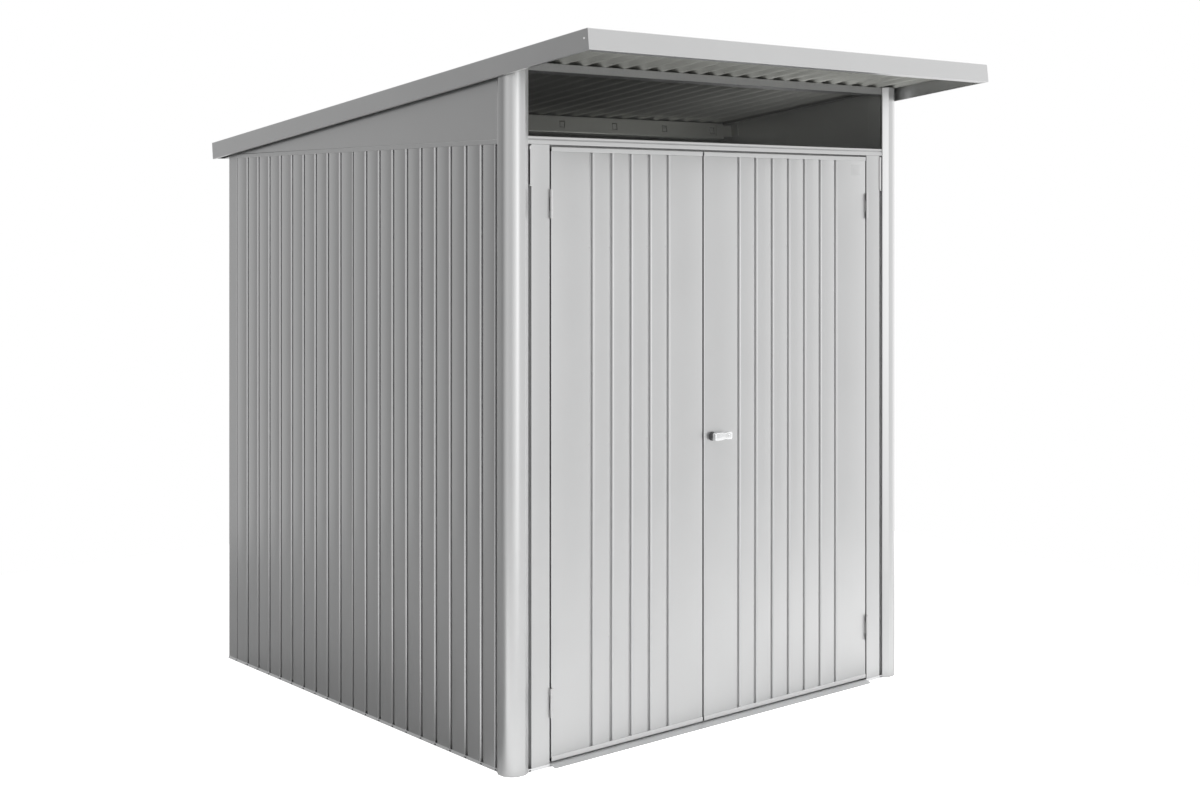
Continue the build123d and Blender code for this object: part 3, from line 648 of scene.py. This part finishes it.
stiffener_levels, stiffener_half, stiffener_front = (0.355, 0.957, 1.559), 0.030, 0.0115
stiffener_inset, edge_rail, rail_back, rail_bend = 0.003, 0.013, 0.0245, 0.0012
edge_section = [(edge_rail, rail_back), (edge_rail, 0), (0, 0), (0, rail_back)]
stiffener_section = [(stiffener_half, stiffener_front), (stiffener_half, rail_back)]
stiffener_section += [(-stiffener_half, rail_back), (-stiffener_half, stiffener_front)]
for side in ("left", "right"):
    node = f"{side}_door_rails"
    low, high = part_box(node)
    rails = [(low.z, 0, edge_section), (high.z - edge_rail, 0, edge_section)]
    rails += [(level, stiffener_inset, stiffener_section) for level in stiffener_levels]
    channels = []
    for level, inset, section in rails:
        faces = rounded(section, [rail_bend] * 2, sheet_gauge)
        start, span = (low.x, low.y, level), (inset, high.x - low.x - inset)
        axes = ((0, 0, 1), (0, 1, 0), (1, 0, 0))
        channels.append(shell(*[swept(face, span, start, *axes) for face in faces]))
    put(f"{side}_door_frame", channels, silver_paint, f"{side}_door", (node,))

# A painted rivet beside each groove holds the skin to each stiffener, and a small bare plate is
# pressed on near the top of the right leaf
door_rivet_radius, beside_groove, rivet_sunk = 0.0024, 0.0100, 0.0003
for side in ("left", "right"):
    low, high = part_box(f"{side}_door_skin")
    count = round((high.x - low.x) / door_pitch)
    heads = []
    for groove in range(plain_strips, count - plain_strips + 1):
        for level in stiffener_levels:
            place = (low.x + groove * door_pitch - beside_groove, low.y + rivet_sunk, level)
            heads.append(stacked(ring(door_rivet_radius, 16), dome, place, *facing_front))
    put(f"{side}_door_rivets", heads, silver_paint, f"{side}_door")
plate_half_width, plate_half_height, plate_corner = 0.024, 0.019, 0.003
plate_relief = ((0, -0.0002), (0, 0.0003), (0.0004, 0.0006), (0.0010, 0.0007))
plate_place = (0.660, right_low.y, 1.820)
plate = rounded_square(plate_half_width, plate_half_height, plate_corner)
plate = stacked(plate, plate_relief, plate_place, *facing_front)
put("door_plate", [plate], silver_paint, "right_door")

# Handle
# A cast zinc lever, satin chromed, on a dark nylon neck and rosette, with a lock near its free end.
chrome_grain = {"Flake": 0.02, "Flake Scale": 1500, "Marks": 0.04, "Mark Scale": 60, "Wave": 0, "Peel": 0}
satin_chrome = metal("satin_chrome", (0.86, 0.865, 0.87), 0.22, 1.0, chrome_grain)
dark_grain = {"Flake": 0.10, "Flake Scale": 1500, "Marks": 0.10, "Mark Scale": 90, "Wave": 0, "Peel": 1e-5}
dark_nylon = metal("dark_nylon", (0.05, 0.05, 0.052), 0.38, 0.0, dark_grain)
handle_x, handle_z, door_y = -0.042967, 0.938, right_low.y
lever_back, lever_front, lever_half = -0.013, 0.065, 0.013
back_radius, front_radius = 0.007, 0.006
waist_x, waist_depth, waist_length = 0.0325, 0.0025, 0.008
front_taper, taper_length = 0.0005, 0.010
lever_depth, lever_thickness = 0.0163, 0.014


def lever_outline():
    """The lever's outline over x and height, with a waist in the middle and quarter-circle ends.

    Half its height is half - depth * exp(-((x - waist) / length)^2), less a taper that grows
    with x in front of the waist.
    """
    turn = np.linspace(0, math.pi / 2, 7)
    back = lever_back + back_radius * (1 - np.cos(turn))
    front = lever_front - front_radius * (1 - np.sin(turn))
    x = np.concatenate([back, np.linspace(back[-1], front[0], 26)[1:-1], front])
    half = lever_half - waist_depth * np.exp(-(((x - waist_x) / waist_length) ** 2))
    half -= front_taper * np.clip((x - waist_x) / taper_length, 0, 1)
    half[:7] -= back_radius * (1 - np.sin(turn))
    half[-7:] -= front_radius * (1 - np.cos(turn))
    return np.concatenate([np.stack([x, -half], 1), np.stack([x, half], 1)[::-1]])


def handle_part(outline, steps, x=0.0):
    """A solid stacked on the right leaf's face, centred that far beside the handle's axis."""
    return stacked(outline, steps, (handle_x + x, door_y, handle_z), *facing_front)


rosette_radius, rosette_thickness = 0.0148, 0.0040
rosette_steps = ((0, 0), (0, 0.0026), (0.0004, 0.0036), (0.0012, rosette_thickness))
rosette = handle_part(ring(rosette_radius, 40), rosette_steps)
put("handle_rosette_turned", [rosette], dark_nylon, "right_door", ("handle_rosette",))

neck_radius, neck_gap, sunk = 0.0130, 0.0003, 0.001
neck_steps = ((0, rosette_thickness + neck_gap), (0, lever_depth + sunk))
neck = handle_part(ring(neck_radius, 40), neck_steps)
put("handle_neck_turned", [neck], dark_nylon, "handle")

lever_steps = [(0.0018, 0), (0.0005, 0.0006), (0, 0.0018), (0, 0.0112)]
lever_steps += [(0.0004, 0.0124), (0.0012, 0.0134), (0.0022, lever_thickness)]
lever = handle_part(lever_outline(), np.array(lever_steps) + (0, lever_depth))
put("handle_lever_cast", [lever], satin_chrome, "handle", ("handle_lever",))

# The lock is a collar round a barrel whose two halves leave a key slot between them
lock_x, collar_radius, barrel_radius, slot_half_width = 0.052, 0.0062, 0.0047, 0.0006
lock_face = lever_depth + lever_thickness
collar_steps = np.array([(0, -sunk), (0, 0.0012), (0.0006, 0.0018)]) + (0, lock_face)
barrel_steps = np.array([(0, -sunk), (0, 0.0022), (0.0003, 0.0024)]) + (0, lock_face)
collar = handle_part(ring(collar_radius, 32), collar_steps, lock_x)
half_turn = np.linspace(0, math.pi, 15)
half_disc = barrel_radius * np.stack([np.cos(half_turn), np.sin(half_turn)], 1) + (0, slot_half_width)
cores = [handle_part(half_disc * flip, barrel_steps, lock_x) for flip in (1, -1)]
put("handle_lock_turned", [collar, *cores], satin_chrome, "handle", ("handle_lock",))

# The view
# A pale floor, a soft studio all round, a lamp inside and one far in front, both unseen, and a
# level camera whose picture is shifted down, so that upright lines stay upright.
floor_reach = 3
corners = np.array([(-1, -1, 0), (1, -1, 0), (1, 1, 0), (-1, 1, 0)]) * floor_reach
floor_mesh = bpy.data.meshes.new("floor")
floor_mesh.from_pydata(corners.tolist(), [], [(0, 1, 2, 3)])
floor = bpy.data.objects.new("floor", floor_mesh)
bpy.context.scene.collection.objects.link(floor)
floor_paint = bpy.data.materials.new("floor_paint")
floor_paint.use_nodes = True
floor_nodes, floor_links = floor_paint.node_tree.nodes, floor_paint.node_tree.links
floor_shader = floor_nodes["Principled BSDF"]
floor_shader.inputs["Roughness"].default_value = 0.9
floor_shader.inputs["Specular IOR Level"].default_value = 0.0
floor_shader.inputs["Emission Color"].default_value = (1, 1, 1, 1)
floor_place = floor_nodes.new("ShaderNodeSeparateXYZ")
floor_links.new(floor_nodes.new("ShaderNodeTexCoord").outputs["Object"], floor_place.inputs[0])


def tone_by_depth(bounds, tones, socket):
    """Feeds a socket the smooth step between two tones from one y of the floor to another."""
    node = floor_nodes.new("ShaderNodeMapRange")
    node.interpolation_type = "SMOOTHSTEP"
    node.inputs["From Min"].default_value, node.inputs["From Max"].default_value = bounds
    node.inputs["To Min"].default_value, node.inputs["To Max"].default_value = tones
    floor_links.new(floor_place.outputs["Y"], node.inputs["Value"])
    floor_links.new(node.outputs["Result"], socket)


# The floor is pale and glows a little in front of the doors, a painted light on the doors' feet;
# it is painted darker round the walls as painted shade, and is plain white to the camera
# Painted shade: the floor's colour falls from 0.80 in front to 0.27 round and under the shed
tone_by_depth((-0.85, -0.45), (0.80, 0.27), floor_shader.inputs["Base Color"])
near_doors = floor_nodes.new("ShaderNodeMath")
near_doors.operation = "MULTIPLY"
tone_by_depth((-0.80, -0.65), (1, 0), near_doors.inputs[0])
tone_by_depth((-2.0, -0.8), (0, 0.30), near_doors.inputs[1])
glow = floor_nodes.new("ShaderNodeMix")
glow.inputs["B"].default_value = 1.0
floor_links.new(floor_nodes.new("ShaderNodeLightPath").outputs["Is Camera Ray"], glow.inputs["Factor"])
floor_links.new(near_doors.outputs[0], glow.inputs["A"])
floor_links.new(glow.outputs["Result"], floor_shader.inputs["Emission Strength"])
floor_mesh.materials.append(floor_paint)

# Brightness of the studio by direction, in degrees from straight in front towards the right
studio_tones = (
    (-180, 0.73),
    (-158, 0.63),
    (-146, 0.40),
    (-130, 0.18),
    (-110, 0.46),
    (-83, 0.86),
    (-45, 0.67),
    (0, 1.38),
    (40, 0.79),
    (80, 1.42),
    (120, 1.05),
    (180, 0.73),
)
overhead, overhead_from, overhead_full = 1.85, 0.45, 0.9
studio = bpy.data.worlds.new("studio")
bpy.context.scene.world = studio
studio.use_nodes = True
nodes, links = studio.node_tree.nodes, studio.node_tree.links


def linked_math(operation, *values):
    """Math node of the studio's tree, its inputs given as numbers or sockets."""
    node = nodes.new("ShaderNodeMath")
    node.operation = operation
    for socket, value in zip(node.inputs, values):
        if isinstance(value, (int, float)):
            socket.default_value = value
        else:
            links.new(value, socket)
    return node.outputs[0]


direction = nodes.new("ShaderNodeSeparateXYZ")
links.new(nodes.new("ShaderNodeTexCoord").outputs["Generated"], direction.inputs[0])
turn = linked_math("ARCTAN2", direction.outputs["X"], linked_math("MULTIPLY", direction.outputs["Y"], -1.0))
ramp = nodes.new("ShaderNodeValToRGB")
links.new(linked_math("MULTIPLY_ADD", turn, 0.5 / math.pi, 0.5), ramp.inputs["Fac"])
stops = ramp.color_ramp.elements
stops[0].position, stops[1].position = 0.0, 1.0
for degrees, _ in studio_tones[1:-1]:
    stops.new(degrees / 360 + 0.5)
for stop, (degrees, tone) in zip(stops, studio_tones):
    stop.color = (tone, tone, tone, 1)
lift = nodes.new("ShaderNodeMapRange")
lift.interpolation_type = "SMOOTHSTEP"
lift.inputs["From Min"].default_value = overhead_from
lift.inputs["From Max"].default_value = overhead_full
links.new(direction.outputs["Z"], lift.inputs["Value"])
tone_mix = nodes.new("ShaderNodeMix")
tone_mix.data_type = "RGBA"
tone_mix.inputs["B"].default_value = (overhead, overhead, overhead, 1)
links.new(lift.outputs["Result"], tone_mix.inputs["Factor"])
links.new(ramp.outputs["Color"], tone_mix.inputs["A"])
backdrop = nodes.new("ShaderNodeMix")
backdrop.data_type = "RGBA"
backdrop.inputs["B"].default_value = (1, 1, 1, 1)
links.new(nodes.new("ShaderNodeLightPath").outputs["Is Camera Ray"], backdrop.inputs["Factor"])
links.new(tone_mix.outputs["Result"], backdrop.inputs["A"])
links.new(backdrop.outputs["Result"], nodes["Background"].inputs["Color"])


def soft_lamp(name, place, aim, size, power):
    """Rectangular lamp turned to face the aim and unseen by the camera."""
    lamp = bpy.data.lights.new(name, "AREA")
    lamp.shape = "RECTANGLE"
    lamp.size, lamp.size_y = size
    lamp.energy = power
    made = bpy.data.objects.new(name, lamp)
    bpy.context.scene.collection.objects.link(made)
    made.location = place
    x, y, z = np.array(aim, float) - np.array(place, float)
    made.rotation_euler = (math.atan2(math.hypot(x, y), -z), 0, math.atan2(-x, y))
    made.visible_camera = False


soft_lamp("inside_lamp", (0.60, -0.48, 1.46), (-0.45, 0.0, 2.1), (0.3, 0.3), 2.7)
soft_lamp("front_lamp", (0.2, -8.5, 1.6), (0, -0.7, 1.6), (2.6, 3.2), 16)

camera_data = bpy.data.cameras.new("camera")
camera_data.sensor_width = 36.0
camera_data.lens = 50.46
camera_data.shift_y = -0.1566
camera = bpy.data.objects.new("camera", camera_data)
camera.location = (-3.8594, -4.6896, 1.6618)
camera.rotation_euler = (math.radians(90), 0, math.radians(-40.05))
bpy.context.scene.collection.objects.link(camera)
bpy.context.scene.camera = camera
bpy.context.scene.view_settings.view_transform = "Standard"
